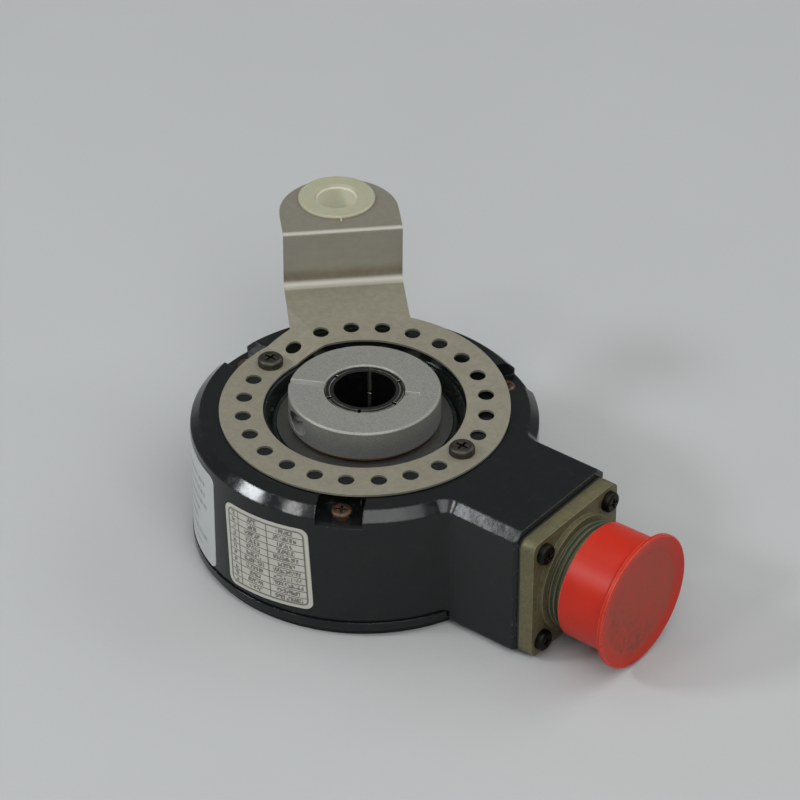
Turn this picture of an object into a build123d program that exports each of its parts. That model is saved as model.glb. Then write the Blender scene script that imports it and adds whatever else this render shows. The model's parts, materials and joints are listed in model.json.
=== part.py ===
"""Hollow-shaft rotary encoder with a flexible tether and a round threaded connector.

Millimetres, +Z up. The origin is on the shaft's axis, in the face that the tether is screwed to, and
+X points out of the connector. Heights are measured up from the foot: level() turns one into a Z.
"""
import os
from math import atan2, cos, degrees, hypot, radians, sin

from build123d import *

# Case
body_radius = 44.45
body_height = 38.25
top_height = 38.0
seam_height = 4.9
seal_height = 0.6
edge_chamfer = 2.4
cavity_radius = 41.0
shoulder_height = 31.3
roof_radius = 33.0
roof_height = 34.0
inside_corner = 3.0

# Connector block
block_reach = 61.9
block_half_width = 18.45
block_bottom = 2.2
block_corner = 0.8
block_gap = 0.6
block_bore_radius = 14.0
connector_height = 18.6

# Base
base_radius = body_radius + 0.25
foot_radius = base_radius - 1.3
foot_height = 1.5
floor_height = 3.0
spigot_height = 7.4
spigot_wall = 5.4
base_boss_radius = 20.0
base_boss_height = 5.5
lower_seal_seat = 17.0

# Fastenings
fit = 0.02
running = 0.06
screw_slack = 0.15
case_screw_ring = 38.7
case_screw_angles = (60, 180, 300)
case_screw_radius = 1.5
case_screw_head = 2.8
case_screw_length = 31.0
notch_floor = 33.8
notch_half_width = 5.9
notch_inner = 34.3
notch_corner = 3.4
lobe_radius = 4.6

# Tether
tether_sheet = 0.65
tether_inner = 25.9
tether_outer = 37.1
tether_boss_inner = 26.4
tether_boss_outer = 36.4
tether_hole_ring = 31.1
tether_hole_radius = 2.1
tether_hole_count = 24
tether_screw_angles = (0, 180)
tether_screw_radius = 1.7
tether_screw_head = 3.3
tether_screw_length = 4.9
arm_angle = 135
arm_width = 31.5
arm_reach = 50.8
arm_lean = 1.0
arm_lower_bend = 2.6
arm_upper_bend = 0.9
tab_top = 22.05
tab_centre = 59.2
lift_start = -18.0
lift_slope = 0.0673
ramp_angle = 171.5
ramp_slope = 0.33
bushing_place = 65.0
bushing_bore = 5.1
bushing_neck = 7.2
bushing_flange = 10.2
bushing_flange_thickness = 0.9
bushing_clip = 8.2
bushing_clip_height = 5.5
bushing_nib_width = 0.5
bushing_nib_reach = 1.5

# Shaft and what it carries
bore_radius = 7.94
insert_outer = 8.93
shaft_bore = insert_outer + fit
journal_radius = 12.5
clamp_seat_radius = 10.26
shaft_bottom = 0.6
shaft_top = 44.35
clamp_step = 35.7
finger_count = 6
finger_slit = 0.9
finger_root = 36.9
insert_slit = 1.0
insert_slit_angle = 120
collar_radius = 19.43
collar_height = 8.2
collar_chamfer = 0.4
slinger_radius = 18.6
slinger_thickness = 0.7
collar_bottom = clamp_step + slinger_thickness
clamp_slot = 1.8
clamp_slot_angle = 207.4
clamp_slot_blind_reach = 14.0
clamp_screw_radius = 1.5
clamp_screw_head = 2.5
clamp_head_depth = 5.4
clamp_head_height = 3.0
clamp_screw_length = 14.0

# Code disc
disc_radius = 31.0
disc_thickness = 1.0
disc_bottom = 9.2
hub_radius = 17.0
hub_thickness = 2.0
disc_clamp_height = 2.0

# Bearings and their carrier
bearing_outer = 18.5
bearing_width = 7.0
lower_bearing_bottom = 13.2
spacer_width = 2.0
upper_bearing_bottom = lower_bearing_bottom + bearing_width + spacer_width
bearing_stack_top = upper_bearing_bottom + bearing_width
pitch_radius = (journal_radius + bearing_outer) / 2
ball_radius = 1.75
ball_count = 15
race_thickness = 1.8
cage_thickness = 0.8
cage_height = 2 * ball_radius + 0.5
carrier_bottom = 11.2
carrier_tube = 22.0
carrier_flange = 29.0
carrier_flange_thickness = 3.0
carrier_nose = 22.5
carrier_top = 35.0
carrier_lip = 16.2
carrier_lip_height = 1.5
seal_seat = 18.0
carrier_screw_ring = 24.9
carrier_screw_angles = (90, 210, 330)
small_screw_radius = 1.25
small_screw_head = 2.1
recess_top_radius = 25.4
recess_bottom_radius = 23.4
recess_floor = 34.6
circlip_width = 1.0
circlip_depth = 0.7

# Electronics
board_bottom = 24.0
board_thickness = 1.6
board_inner = 22.8
board_outer = 33.5
standoff_ring = 26.3
standoff_angles = (30, 150, 270)
standoff_radius = 2.2
chip_angles = (190, 232, 320)
chip_size = (5.0, 8.0, 1.4)
header_inner = 25.0
header_outer = 31.0
header_half_width = 12.6
header_drop = 4.8
header_socket_depth = 2.5
read_head_angle = 120
head_half_width = 8.0
head_inner = 22.8
head_outer = 34.5
head_wall = 3.0
head_arm_bottom = 12.4
head_arm_top = 15.5
head_window = 4.6
sensor_half_width = 4.4
sensor_inner = 22.0
sensor_outer = 34.0
sensor_place = 28.0
sensor_board_bottom = floor_height + 2.0
sensor_board_top = sensor_board_bottom + 1.2
emitter_radius = 1.6
link_pin_count = 4
link_pin_pitch = 2.0
link_pin_radius = 0.32
link_pin_place = 32.9

# Connector
flange_half = 17.4625
flange_back = 62.5
flange_front = 66.5
flange_corner = 2.4
flange_screw_offset = 13.485
flange_screw_radius = 1.5
flange_screw_head = 2.75
flange_screw_head_height = 1.9
flange_screw_length = 11.5
thread_radius = 14.29
thread_root = thread_radius - 0.84
barrel_shoulder_radius = 15.5
barrel_shoulder_end = 68.0
thread_pitch = 1.41
thread_count = 10
barrel_end = 84.0
barrel_bore = 12.4
barrel_tail = 58.0
barrel_tail_radius = 13.4
insert_back = 57.0
insert_front = 75.0
key_width = 1.6
key_depth = 0.8
pin_ring = 8.2
pin_ring_count = 8
pin_inner_offset = 2.9
pin_body = 1.2
pin_tip = 0.79
pin_back = 55.5
pin_front = 81.5
wire_radius = 0.6
wire_bend = 4.0
wire_straight = 5.5

# Dust cap
cap_mouth = 72.6
cap_wall = 0.95
cap_mouth_radius = thread_radius + running + cap_wall
cap_root_radius = cap_mouth_radius + 0.2
cap_floor = 85.3
cap_rim_back = 86.3
cap_face = 87.5
cap_rim_radius = cap_root_radius + 2.4
cap_dish_radius = 13.5
cap_dish_depth = 0.6
cap_fillet = 2.1

# Labels
label_thickness = 0.15
label_corner = 2.2
wiring_label_size = (25.3, 24.8)
wiring_label_place = (-85.7, 18.8)
wiring_label_tilt = 3.0
rating_label_size = (37.0, 28.6)
rating_label_place = (-134.5, 19.2)
rating_label_tilt = 0.0

UPRIGHT = (Align.CENTER, Align.CENTER, Align.MIN)


def level(height):
    """Z of a height above the foot."""
    return height - body_height


def polar(radius, angle, height=0.0):
    """Place on a circle about the shaft, turned to face outward."""
    return Rot(0, 0, angle) * Pos(radius, 0, level(height))


def drum(radius, low, high):
    return Pos(0, 0, level(low)) * Cylinder(radius, high - low, align=UPRIGHT)


def ring(outer, inner, low, high):
    return drum(outer, low, high) - drum(inner, low, high)


def turned(points):
    """Solid turned about the shaft's axis from (radius, height) points."""
    outline = Polyline(*[(radius, 0, level(height)) for radius, height in points], close=True)
    return revolve(make_face(outline), Axis.Z)


def turned_on_connector(points):
    """Solid turned about the connector's axis from (radius, reach) points."""
    outline = Polyline(*[(radius, 0, reach) for radius, reach in points], close=True)
    return on_connector(revolve(make_face(outline), Axis.Z))


def on_connector(shape):
    """Turns a shape made about Z, with Z as the reach, onto the connector's axis."""
    return Pos(0, 0, level(connector_height)) * Rot(0, 90, 0) * shape


def pan_screw(shank_radius, length, head_radius, head_height):
    """Cross-recessed pan-head screw with its seat at Z 0 and its shank below."""
    rim = head_height * 0.45
    shoulder = (head_radius * 0.92, 0, head_height * 0.85)
    crown = head_radius * 0.62
    head_outline = [
        Line((0, 0, 0), (head_radius, 0, 0)),
        Line((head_radius, 0, 0), (head_radius, 0, rim)),
        ThreePointArc((head_radius, 0, rim), shoulder, (crown, 0, head_height)),
        Line((crown, 0, head_height), (0, 0, head_height)),
        Line((0, 0, head_height), (0, 0, 0)),
    ]
    head = revolve(make_face(head_outline), Axis.Z)
    shank = Pos(0, 0, -length) * Cylinder(shank_radius, length, align=UPRIGHT)
    wing = head_radius * 1.1
    slot = head_radius * 0.26
    recess_depth = head_height * 0.6
    cross = Box(wing, slot, recess_depth, align=UPRIGHT) + Box(slot, wing, recess_depth, align=UPRIGHT)
    return head + shank - Pos(0, 0, head_height - recess_depth) * cross


# --- Case ---------------------------------------------------------------------------------------

def case_outline():
    """Round case and connector block in plan, with rounded inside corners."""
    block = Pos(block_reach / 2, 0) * Rectangle(block_reach, 2 * block_half_width)
    outline = Circle(body_radius) + block
    junctions = outline.vertices().sort_by(Axis.X)
    return fillet(junctions[-4:-2], inside_corner)


def case_notches():
    """Notches in the top edge that hold the case screws' heads."""
    depth = top_height - notch_floor + 1
    reach = body_radius - notch_inner + 2
    plan = RectangleRounded(2 * reach, 2 * notch_half_width, notch_corner)
    notch = extrude(plan, depth)
    place = notch_inner + reach
    return [polar(place, angle, notch_floor) * notch for angle in case_screw_angles]


def housing():
    body = Pos(0, 0, level(seam_height)) * extrude(case_outline(), top_height - seam_height)
    top = body.faces().sort_by(Axis.Z)[-1]
    rim_edges = top.outer_wire().edges().sort_by(Axis.X)[:-1]
    body = chamfer(rim_edges, edge_chamfer)
    body = chamfer(body.edges().filter_by(Axis.Z).sort_by(Axis.X)[-2:], block_corner)
    skirt_length = block_reach - body_radius / 2
    skirt_place = Pos(block_reach - skirt_length / 2, 0, level(block_bottom))
    skirt = skirt_place * Box(skirt_length, 2 * block_half_width, seam_height - block_bottom, align=UPRIGHT)
    skirt = chamfer(skirt.edges().filter_by(Axis.Z).sort_by(Axis.X)[-2:], block_corner)
    body = body + (skirt - drum(base_radius + block_gap, 0, seam_height))
    body = body + ring(tether_boss_outer, tether_boss_inner, top_height, body_height)

    lobe = Cylinder(lobe_radius, 4 * body_height)
    lobes = [polar(case_screw_ring, angle) * lobe for angle in case_screw_angles]
    cavity = drum(cavity_radius, seam_height, shoulder_height) - lobes
    lobe_lift = drum(cavity_radius, seam_height, spigot_height + 0.3)
    body = body - cavity - lobe_lift - drum(roof_radius, shoulder_height - 1, roof_height)
    recess = turned([(0, recess_floor), (recess_bottom_radius, recess_floor),
                     (recess_top_radius, body_height), (recess_top_radius, body_height + 1),
                     (0, body_height + 1)])
    body = body - recess - drum(carrier_nose + running, roof_height - 1, recess_floor + 1)
    bore_start = roof_radius - 3
    block_bore = Pos(0, 0, bore_start) * Cylinder(block_bore_radius, block_reach, align=UPRIGHT)
    body = body - on_connector(block_bore) - case_notches()

    case_hole = Cylinder(case_screw_radius + screw_slack, 4 * body_height)
    body = body - [polar(case_screw_ring, angle) * case_hole for angle in case_screw_angles]
    tether_hole = Cylinder(tether_screw_radius + fit, 2 * (body_height - roof_height) + 2)
    tether_places = [polar(tether_hole_ring, angle, body_height) for angle in tether_screw_angles]
    body = body - [place * tether_hole for place in tether_places]
    carrier_hole = Cylinder(small_screw_radius + fit, 2 * (recess_floor - roof_height + 1.6))
    carrier_places = [polar(carrier_screw_ring, angle, roof_height) for angle in carrier_screw_angles]
    body = body - [place * carrier_hole for place in carrier_places]
    flange_hole = Cylinder(flange_screw_radius + fit, 2 * (flange_screw_length + 0.5))
    return body - [place * flange_hole for place in flange_screw_places(flange_front)]


def base_plate():
    spigot_outer = cavity_radius - running
    spigot_inner = cavity_radius - spigot_wall
    seat = lower_seal_seat + fit
    body = turned([
        (journal_radius + 1.2, 0), (foot_radius, 0), (foot_radius, foot_height),
        (base_radius, foot_height + 0.6),
        (base_radius, seam_height - seal_height), (spigot_outer, seam_height - seal_height),
        (spigot_outer, spigot_height), (spigot_inner, spigot_height), (spigot_inner, floor_height),
        (base_boss_radius, floor_height), (base_boss_radius, base_boss_height), (seat, base_boss_height),
        (seat, 1.0), (journal_radius + 1.2, 1.0)])
    depth = case_screw_length - (notch_floor - spigot_height)
    hole = Cylinder(case_screw_radius + fit, 2 * (depth + 0.5))
    return body - [polar(case_screw_ring, angle, spigot_height) * hole for angle in case_screw_angles]


def base_gasket():
    return ring(body_radius - 0.5, cavity_radius, seam_height - seal_height, seam_height)


def case_screws():
    screw = pan_screw(case_screw_radius, case_screw_length, case_screw_head, 1.8)
    return [polar(case_screw_ring, angle, notch_floor) * screw for angle in case_screw_angles]


# --- Tether, drawn with its arm along +X and turned to arm_angle last -----------------------------

def side_of_line(direction, offset):
    """Everything beyond a line in plan: direction is its normal's angle, offset its distance."""
    size = 400.0
    return Rot(0, 0, direction) * Pos(offset + size / 2, 0, 0) * Box(size, size, size)


def tether_outline():
    plan = Circle(tether_outer)
    plan += Pos(tab_centre / 2, 0) * Rectangle(tab_centre, arm_width)
    plan += Pos(tab_centre, 0) * Circle(arm_width / 2)
    plan -= Circle(tether_inner)
    plan -= PolarLocations(tether_hole_ring, tether_hole_count) * Circle(tether_hole_radius)
    plan -= Pos(bushing_place, 0) * Circle(bushing_neck + fit)
    return Pos(0, 0, -1) * extrude(plan, tab_top + 2)


def bent_strip():
    """The sheet seen from the side: flat, then rising, up the riser and out along the tab."""
    middle = tether_sheet / 2
    rise = lift_slope * (arm_reach - lift_start)
    centre_line = FilletPolyline(
        (-tether_outer - 1, 0, middle), (lift_start, 0, middle), (arm_reach, 0, rise + middle),
        (arm_reach - arm_lean, 0, tab_top - middle), (tab_centre + arm_width, 0, tab_top - middle),
        radius=(5.0, arm_lower_bend, arm_upper_bend))
    start = Plane(origin=centre_line @ 0, x_dir=(0, 1, 0), z_dir=centre_line % 0)
    section = start * Rectangle(2 * tether_outer + 4, tether_sheet)
    return sweep(section, centre_line, transition=Transition.RIGHT)


def tether_plate():
    ramp = ramp_angle - arm_angle
    across = (sin(radians(ramp)), -cos(radians(ramp)))
    normal = (ramp_slope * across[0] - lift_slope, ramp_slope * across[1])
    crease_angle = degrees(atan2(normal[1], normal[0]))
    crease_offset = -lift_slope * lift_start / hypot(*normal)
    lifted = side_of_line(crease_angle, crease_offset)
    ramped = side_of_line(ramp - 90, 0)

    along = (cos(radians(ramp)), sin(radians(ramp)))
    reach = 2 * tether_outer
    rise = ramp_slope * reach
    far = (across[0] * reach, across[1] * reach)
    corners = [
        (along[0] * reach, along[1] * reach, 0),
        (-along[0] * reach, -along[1] * reach, 0),
        (far[0] - along[0] * reach, far[1] - along[1] * reach, rise),
        (far[0] + along[0] * reach, far[1] + along[1] * reach, rise)]
    ramp_sheet = extrude(make_face(Polyline(*corners, close=True)), tether_sheet, dir=(0, 0, 1))
    flat_sheet = Cylinder(tether_outer + 1, tether_sheet, align=UPRIGHT)

    outline = tether_outline()
    plate = (bent_strip() & outline & lifted)
    plate += (ramp_sheet & outline & ramped) - lifted
    plate += (flat_sheet & outline) - ramped - lifted
    return Rot(0, 0, arm_angle) * plate


def tether_screws():
    screw = pan_screw(tether_screw_radius, tether_screw_length, tether_screw_head, 2.1)
    height = body_height + tether_sheet
    return [polar(tether_hole_ring, angle, height) * screw for angle in tether_screw_angles]


def tether_bushing():
    tab_bottom = tab_top - tether_sheet
    top = tab_top + bushing_flange_thickness
    points = [
        (bushing_bore, tab_bottom - bushing_clip_height), (bushing_neck, tab_bottom - bushing_clip_height),
        (bushing_clip, tab_bottom - 0.9), (bushing_clip, tab_bottom), (bushing_neck, tab_bottom),
        (bushing_neck, tab_top), (bushing_flange, tab_top), (bushing_flange, top - 0.3),
        (bushing_flange - 0.5, top), (bushing_bore + 0.9, top), (bushing_bore, top - 0.9)]
    outline = Polyline(*[(radius, 0, z) for radius, z in points], close=True)
    nib_length = bushing_nib_reach + bushing_flange - bushing_neck
    nib_place = Pos(-bushing_neck - nib_length / 2, 0, tab_top)
    nib = nib_place * Box(nib_length, bushing_nib_width, bushing_nib_width, align=UPRIGHT)
    bushing = revolve(make_face(outline), Axis.Z) + nib
    return Rot(0, 0, arm_angle) * Pos(bushing_place, 0, 0) * bushing


# --- Shaft --------------------------------------------------------------------------------------

def hollow_shaft():
    hub_bottom = disc_bottom + disc_thickness
    hub_top = hub_bottom + hub_thickness
    groove = bearing_stack_top
    shoulder = journal_radius + race_thickness - 0.3
    body = turned([
        (shaft_bore, shaft_bottom), (journal_radius, shaft_bottom), (journal_radius, hub_bottom),
        (hub_radius, hub_bottom), (hub_radius, hub_top), (shoulder, hub_top),
        (shoulder, lower_bearing_bottom),
        (journal_radius, lower_bearing_bottom), (journal_radius, groove),
        (journal_radius - circlip_depth, groove), (journal_radius - circlip_depth, groove + circlip_width),
        (journal_radius, groove + circlip_width), (journal_radius, clamp_step),
        (clamp_seat_radius, clamp_step), (clamp_seat_radius, shaft_top - 0.3),
        (clamp_seat_radius - 0.3, shaft_top), (shaft_bore, shaft_top)])
    slit_height = shaft_top - finger_root + 1
    slit = Pos(0, 0, level(finger_root)) * Box(2 * journal_radius, finger_slit, slit_height, align=UPRIGHT)
    turns = finger_count // 2
    return body - [Rot(0, 0, 180 * turn / turns) * slit for turn in range(turns)]


def bore_insert():
    sleeve = ring(insert_outer, bore_radius, shaft_bottom, shaft_top + 0.1)
    height = shaft_top + 2
    slit = Pos(insert_outer, 0, level(0)) * Box(2 * insert_outer, insert_slit, height, align=UPRIGHT)
    return sleeve - Rot(0, 0, insert_slit_angle) * slit


def clamp_place():
    """Clamp screw's frame: Z out of its head, across the slot, midway up the collar."""
    middle = (clamp_seat_radius + collar_radius) / 2
    return polar(middle, clamp_slot_angle, collar_bottom + collar_height / 2) * Rot(-90, 0, 0)


def clamp_collar():
    top = collar_bottom + collar_height
    inner = clamp_seat_radius + fit
    body = turned([
        (inner, collar_bottom), (collar_radius - collar_chamfer, collar_bottom),
        (collar_radius, collar_bottom + collar_chamfer), (collar_radius, top - collar_chamfer),
        (collar_radius - collar_chamfer, top), (inner + 0.3, top), (inner, top - 0.3)])
    slot_height = collar_height + 2
    slot_length = collar_radius + 1
    open_slot = Pos(slot_length / 2, 0, 0) * Box(slot_length, clamp_slot, slot_height)
    blind_reach = clamp_slot_blind_reach
    blind_slot = Pos(-blind_reach / 2, 0, 0) * Box(blind_reach, clamp_slot, slot_height)
    middle = level(collar_bottom + collar_height / 2)
    body = body - Pos(0, 0, middle) * Rot(0, 0, clamp_slot_angle) * (open_slot + blind_slot)
    reach = 2 * collar_radius
    counterbore = Cylinder(clamp_screw_head + screw_slack, reach, align=UPRIGHT)
    counterbore = Pos(0, 0, clamp_head_depth) * counterbore
    hole = Cylinder(clamp_screw_radius + screw_slack, clamp_head_depth + 1, align=UPRIGHT)
    thread = Pos(0, 0, clamp_head_depth - clamp_screw_length - 0.5)
    thread = thread * Cylinder(clamp_screw_radius + fit, clamp_screw_length, align=UPRIGHT)
    return body - clamp_place() * (counterbore + hole + thread)


def clamp_screw():
    """Socket-head screw across the collar's slot."""
    head = Cylinder(clamp_screw_head, clamp_head_height, align=UPRIGHT)
    head = chamfer(head.edges().sort_by(Axis.Z)[-1], 0.3)
    socket_depth = clamp_head_height * 0.6
    socket = extrude(RegularPolygon(clamp_screw_head * 0.5, 6), socket_depth)
    head = head - Pos(0, 0, clamp_head_height - socket_depth) * socket
    shank = Pos(0, 0, -clamp_screw_length) * Cylinder(clamp_screw_radius, clamp_screw_length, align=UPRIGHT)
    return clamp_place() * Pos(0, 0, clamp_head_depth) * (head + shank)


def slinger():
    return ring(slinger_radius, clamp_seat_radius + fit, clamp_step, clamp_step + slinger_thickness)


# --- Code disc ----------------------------------------------------------------------------------

def code_disc():
    return ring(disc_radius, journal_radius + fit, disc_bottom, disc_bottom + disc_thickness)


def disc_clamp():
    return ring(hub_radius, journal_radius + fit, disc_bottom - disc_clamp_height, disc_bottom)


# --- Bearings -----------------------------------------------------------------------------------

def race_groove(bottom):
    groove = Torus(pitch_radius, ball_radius + running)
    return Pos(0, 0, level(bottom + bearing_width / 2)) * groove


def outer_race(bottom):
    body = ring(bearing_outer, bearing_outer - race_thickness, bottom, bottom + bearing_width)
    return body - race_groove(bottom)


def inner_race(bottom):
    inner = journal_radius + fit
    body = ring(journal_radius + race_thickness, inner, bottom, bottom + bearing_width)
    return body - race_groove(bottom)


def ball_places(bottom):
    middle = bottom + bearing_width / 2
    step = 360 / ball_count
    return [polar(pitch_radius, step * (index + 0.5), middle) for index in range(ball_count)]


def bearing_cage(bottom):
    low = bottom + (bearing_width - cage_height) / 2
    half = cage_thickness / 2
    body = ring(pitch_radius + half, pitch_radius - half, low, low + cage_height)
    pocket = Rot(0, 90, 0) * Cylinder(ball_radius + running, 3 * cage_thickness)
    return body - [place * pocket for place in ball_places(bottom)]


def bearing_balls(bottom):
    return [place * Sphere(ball_radius) for place in ball_places(bottom)]


def inner_spacer():
    low = lower_bearing_bottom + bearing_width
    return ring(journal_radius + 1.5, journal_radius + fit, low, upper_bearing_bottom)


def outer_spacer():
    low = lower_bearing_bottom + bearing_width
    return ring(bearing_outer, bearing_outer - 1.5, low, upper_bearing_bottom)


def shaft_circlip():
    low = bearing_stack_top
    body = ring(journal_radius + 1.4, journal_radius - circlip_depth + fit, low, low + circlip_width)
    return body - Pos(journal_radius, 0, level(low)) * Box(6, 3, 4)


def carrier_circlip():
    high = lower_bearing_bottom
    body = ring(bearing_outer + circlip_depth - fit, bearing_outer - 1.4, high - circlip_width, high)
    return body - Pos(-bearing_outer, 0, level(high)) * Box(6, 3, 4)


def bearing_carrier():
    flange_bottom = roof_height - carrier_flange_thickness
    seat = bearing_outer + fit
    lip_top = bearing_stack_top + carrier_lip_height
    groove_bottom = lower_bearing_bottom - circlip_width
    groove_radius = bearing_outer + circlip_depth
    body = turned([
        (seat, carrier_bottom), (carrier_tube, carrier_bottom), (carrier_tube, flange_bottom),
        (carrier_flange, flange_bottom), (carrier_flange, roof_height), (carrier_nose, roof_height),
        (carrier_nose, carrier_top), (seal_seat, carrier_top), (seal_seat, lip_top), (carrier_lip, lip_top),
        (carrier_lip, bearing_stack_top), (seat, bearing_stack_top), (seat, lower_bearing_bottom),
        (groove_radius, lower_bearing_bottom), (groove_radius, groove_bottom), (seat, groove_bottom)])
    hole = Cylinder(small_screw_radius + screw_slack, 4 * carrier_flange_thickness)
    stud = Cylinder(small_screw_radius + fit, 2 * (carrier_flange_thickness - 0.4))
    body = body - [polar(carrier_screw_ring, angle, flange_bottom) * hole for angle in carrier_screw_angles]
    return body - [polar(standoff_ring, angle, flange_bottom) * stud for angle in standoff_angles]


def carrier_screws():
    length = carrier_flange_thickness + 1.8
    screw = Rot(180, 0, 0) * pan_screw(small_screw_radius, length, small_screw_head, 1.5)
    height = roof_height - carrier_flange_thickness
    return [polar(carrier_screw_ring, angle, height) * screw for angle in carrier_screw_angles]


def lip_seal(outer, low, high):
    """Shaft seal: a stiff ring with a thin lip that reaches the shaft."""
    shaft = journal_radius + running
    middle = (low + high) / 2
    return turned([
        (outer, low), (outer, high), (outer - 1.6, high), (outer - 1.6, middle + 0.5),
        (shaft, middle + 0.5),
        (shaft, middle - 0.3), (shaft + 1.4, low)])


def upper_shaft_seal():
    return lip_seal(seal_seat - fit, bearing_stack_top + carrier_lip_height, carrier_top - 0.2)


def lower_shaft_seal():
    return lip_seal(lower_seal_seat, 1.0, base_boss_height - 0.3)


# --- Electronics --------------------------------------------------------------------------------

def link_pin_places():
    half = link_pin_pitch * (link_pin_count - 1) / 2
    return [(link_pin_place, index * link_pin_pitch - half) for index in range(link_pin_count)]


def main_board():
    body = ring(board_outer, board_inner, board_bottom, board_bottom + board_thickness)
    hole = Cylinder(small_screw_radius + screw_slack, 4 * board_thickness)
    body = body - [polar(standoff_ring, angle, board_bottom) * hole for angle in standoff_angles]
    pin_hole = Cylinder(link_pin_radius + fit, 4 * board_thickness)
    turn = Rot(0, 0, read_head_angle)
    return body - [turn * Pos(x, y, level(board_bottom)) * pin_hole for x, y in link_pin_places()]


def board_chips():
    place = (board_inner + board_outer) / 2
    height = board_bottom + board_thickness
    return [polar(place, angle, height) * Box(*chip_size, align=UPRIGHT) for angle in chip_angles]


def board_header():
    length = header_outer - header_inner
    place = Pos((header_inner + header_outer) / 2, 0, level(board_bottom - header_drop))
    body = place * Box(length, 2 * header_half_width, header_drop, align=UPRIGHT)
    socket = Rot(0, 90, 0) * Cylinder(wire_radius + fit, 2 * header_socket_depth)
    return body - [Pos(*wire_end(index)) * socket for index in range(pin_ring_count + 2)]


def board_standoffs():
    low = board_bottom + board_thickness
    high = roof_height - carrier_flange_thickness
    post = Cylinder(standoff_radius, high - low, align=UPRIGHT)
    post = post + Cylinder(small_screw_radius, high - low + carrier_flange_thickness - 0.6, align=UPRIGHT)
    post = post - Cylinder(small_screw_radius + fit, 2 * 3.2)
    return [polar(standoff_ring, angle, low) * post for angle in standoff_angles]


def board_screws():
    screw = Rot(180, 0, 0) * pan_screw(small_screw_radius, board_thickness + 2.8, small_screw_head, 1.5)
    return [polar(standoff_ring, angle, board_bottom) * screw for angle in standoff_angles]


def read_head_frame():
    """Bracket that straddles the disc's edge: two legs with an arm above."""
    length = head_outer - head_inner
    height = head_arm_top - floor_height
    body = Box(length, 2 * head_half_width, height, align=UPRIGHT)
    leg_start = head_outer - head_wall
    body = Pos(head_inner + length / 2, 0, 0) * body
    under_arm = head_arm_bottom - sensor_board_bottom
    gap = Pos(leg_start - length / 2, 0, sensor_board_bottom - floor_height)
    body = body - gap * Box(length, 3 * head_half_width, under_arm, align=UPRIGHT)
    window = Pos(head_outer, 0, sensor_board_bottom - floor_height)
    window_size = 2 * (head_wall + 0.4)
    body = body - window * Box(window_size, 2 * head_window, height, align=UPRIGHT)
    lamp = Cylinder(emitter_radius + fit, 4 * height)
    body = body - Pos(sensor_place, 0, height) * (lamp & Pos(0, 0, -height / 4) * Box(9, 9, height / 2))
    return Rot(0, 0, read_head_angle) * Pos(0, 0, level(floor_height)) * body


def emitter_led():
    body = polar(sensor_place, read_head_angle, head_arm_bottom - 0.6)
    lens = Cylinder(emitter_radius, head_arm_top - head_arm_bottom + 0.4, align=UPRIGHT)
    return body * lens


def sensor_board():
    length = sensor_outer - sensor_inner
    place = Pos((sensor_inner + sensor_outer) / 2, 0, level(sensor_board_bottom))
    body = place * Box(length, 2 * sensor_half_width, sensor_board_top - sensor_board_bottom, align=UPRIGHT)
    hole = Cylinder(link_pin_radius + fit, 20)
    body = body - [Pos(x, y, level(sensor_board_bottom)) * hole for x, y in link_pin_places()]
    return Rot(0, 0, read_head_angle) * body


def photo_sensor():
    return polar(sensor_place, read_head_angle, sensor_board_top) * Box(6, 6, 1.4, align=UPRIGHT)


def reticle():
    return polar(sensor_place, read_head_angle, sensor_board_top + 1.4) * Box(6, 7, 1.2, align=UPRIGHT)


def link_pins():
    low = sensor_board_bottom
    high = board_bottom + board_thickness + 0.8
    pin = Cylinder(link_pin_radius, high - low, align=UPRIGHT)
    turn = Rot(0, 0, read_head_angle)
    return [turn * Pos(x, y, level(low)) * pin for x, y in link_pin_places()]


# --- Connector ----------------------------------------------------------------------------------

def flange_screw_places(reach):
    offset = flange_screw_offset
    corners = [(offset, offset), (-offset, offset), (-offset, -offset), (offset, -offset)]
    return [on_connector(Pos(z, y, reach)) for z, y in corners]


def square_plate(back, front, hole_radius):
    plan = RectangleRounded(2 * flange_half, 2 * flange_half, flange_corner) - Circle(hole_radius)
    plate = on_connector(Pos(0, 0, back) * extrude(plan, front - back))
    hole = Cylinder(flange_screw_radius + screw_slack, 4 * (front - back))
    return plate - [place * hole for place in flange_screw_places(front)]


def connector_gasket():
    return square_plate(block_reach, flange_back, barrel_tail_radius + fit)


def connector_shell():
    half_pitch = thread_pitch / 2
    thread = []
    for turn in range(thread_count):
        start = barrel_shoulder_end + 0.6 + turn * thread_pitch
        thread += [(thread_root, start), (thread_radius, start + 0.42), (thread_radius, start + 0.6),
                   (thread_root, start + half_pitch + 0.32)]
    barrel = turned_on_connector(
        [(barrel_bore, barrel_tail), (barrel_tail_radius, barrel_tail), (barrel_tail_radius, flange_back),
         (barrel_shoulder_radius, flange_back), (barrel_shoulder_radius, barrel_shoulder_end),
         (thread_root, barrel_shoulder_end)] + thread +
        [(thread_root, barrel_end - 0.4), (thread_root - 0.4, barrel_end), (barrel_bore, barrel_end)])
    flange = square_plate(flange_back, flange_front, barrel_tail_radius - 0.2)
    key_length = barrel_end - insert_front - 1.5
    key = Pos(-barrel_bore, 0, insert_front) * Box(2 * key_depth, key_width, key_length, align=UPRIGHT)
    return barrel + flange + on_connector(key)


def pin_places():
    """Contact centres as (up, across), in order across the connector."""
    step = 360 / pin_ring_count
    places = [(pin_ring * sin(radians(step * (turn + 0.5))), pin_ring * cos(radians(step * (turn + 0.5))))
              for turn in range(pin_ring_count)]
    places += [(0, -pin_inner_offset), (0, pin_inner_offset)]
    return sorted(places, key=lambda place: (round(place[1], 3), -place[0]))


def connector_insert():
    body = Pos(0, 0, insert_back) * Cylinder(barrel_bore - fit, insert_front - insert_back, align=UPRIGHT)
    hole = Cylinder(pin_body + fit, 4 * insert_front)
    return on_connector(body - [Pos(-up, across, 0) * hole for up, across in pin_places()])


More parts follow.
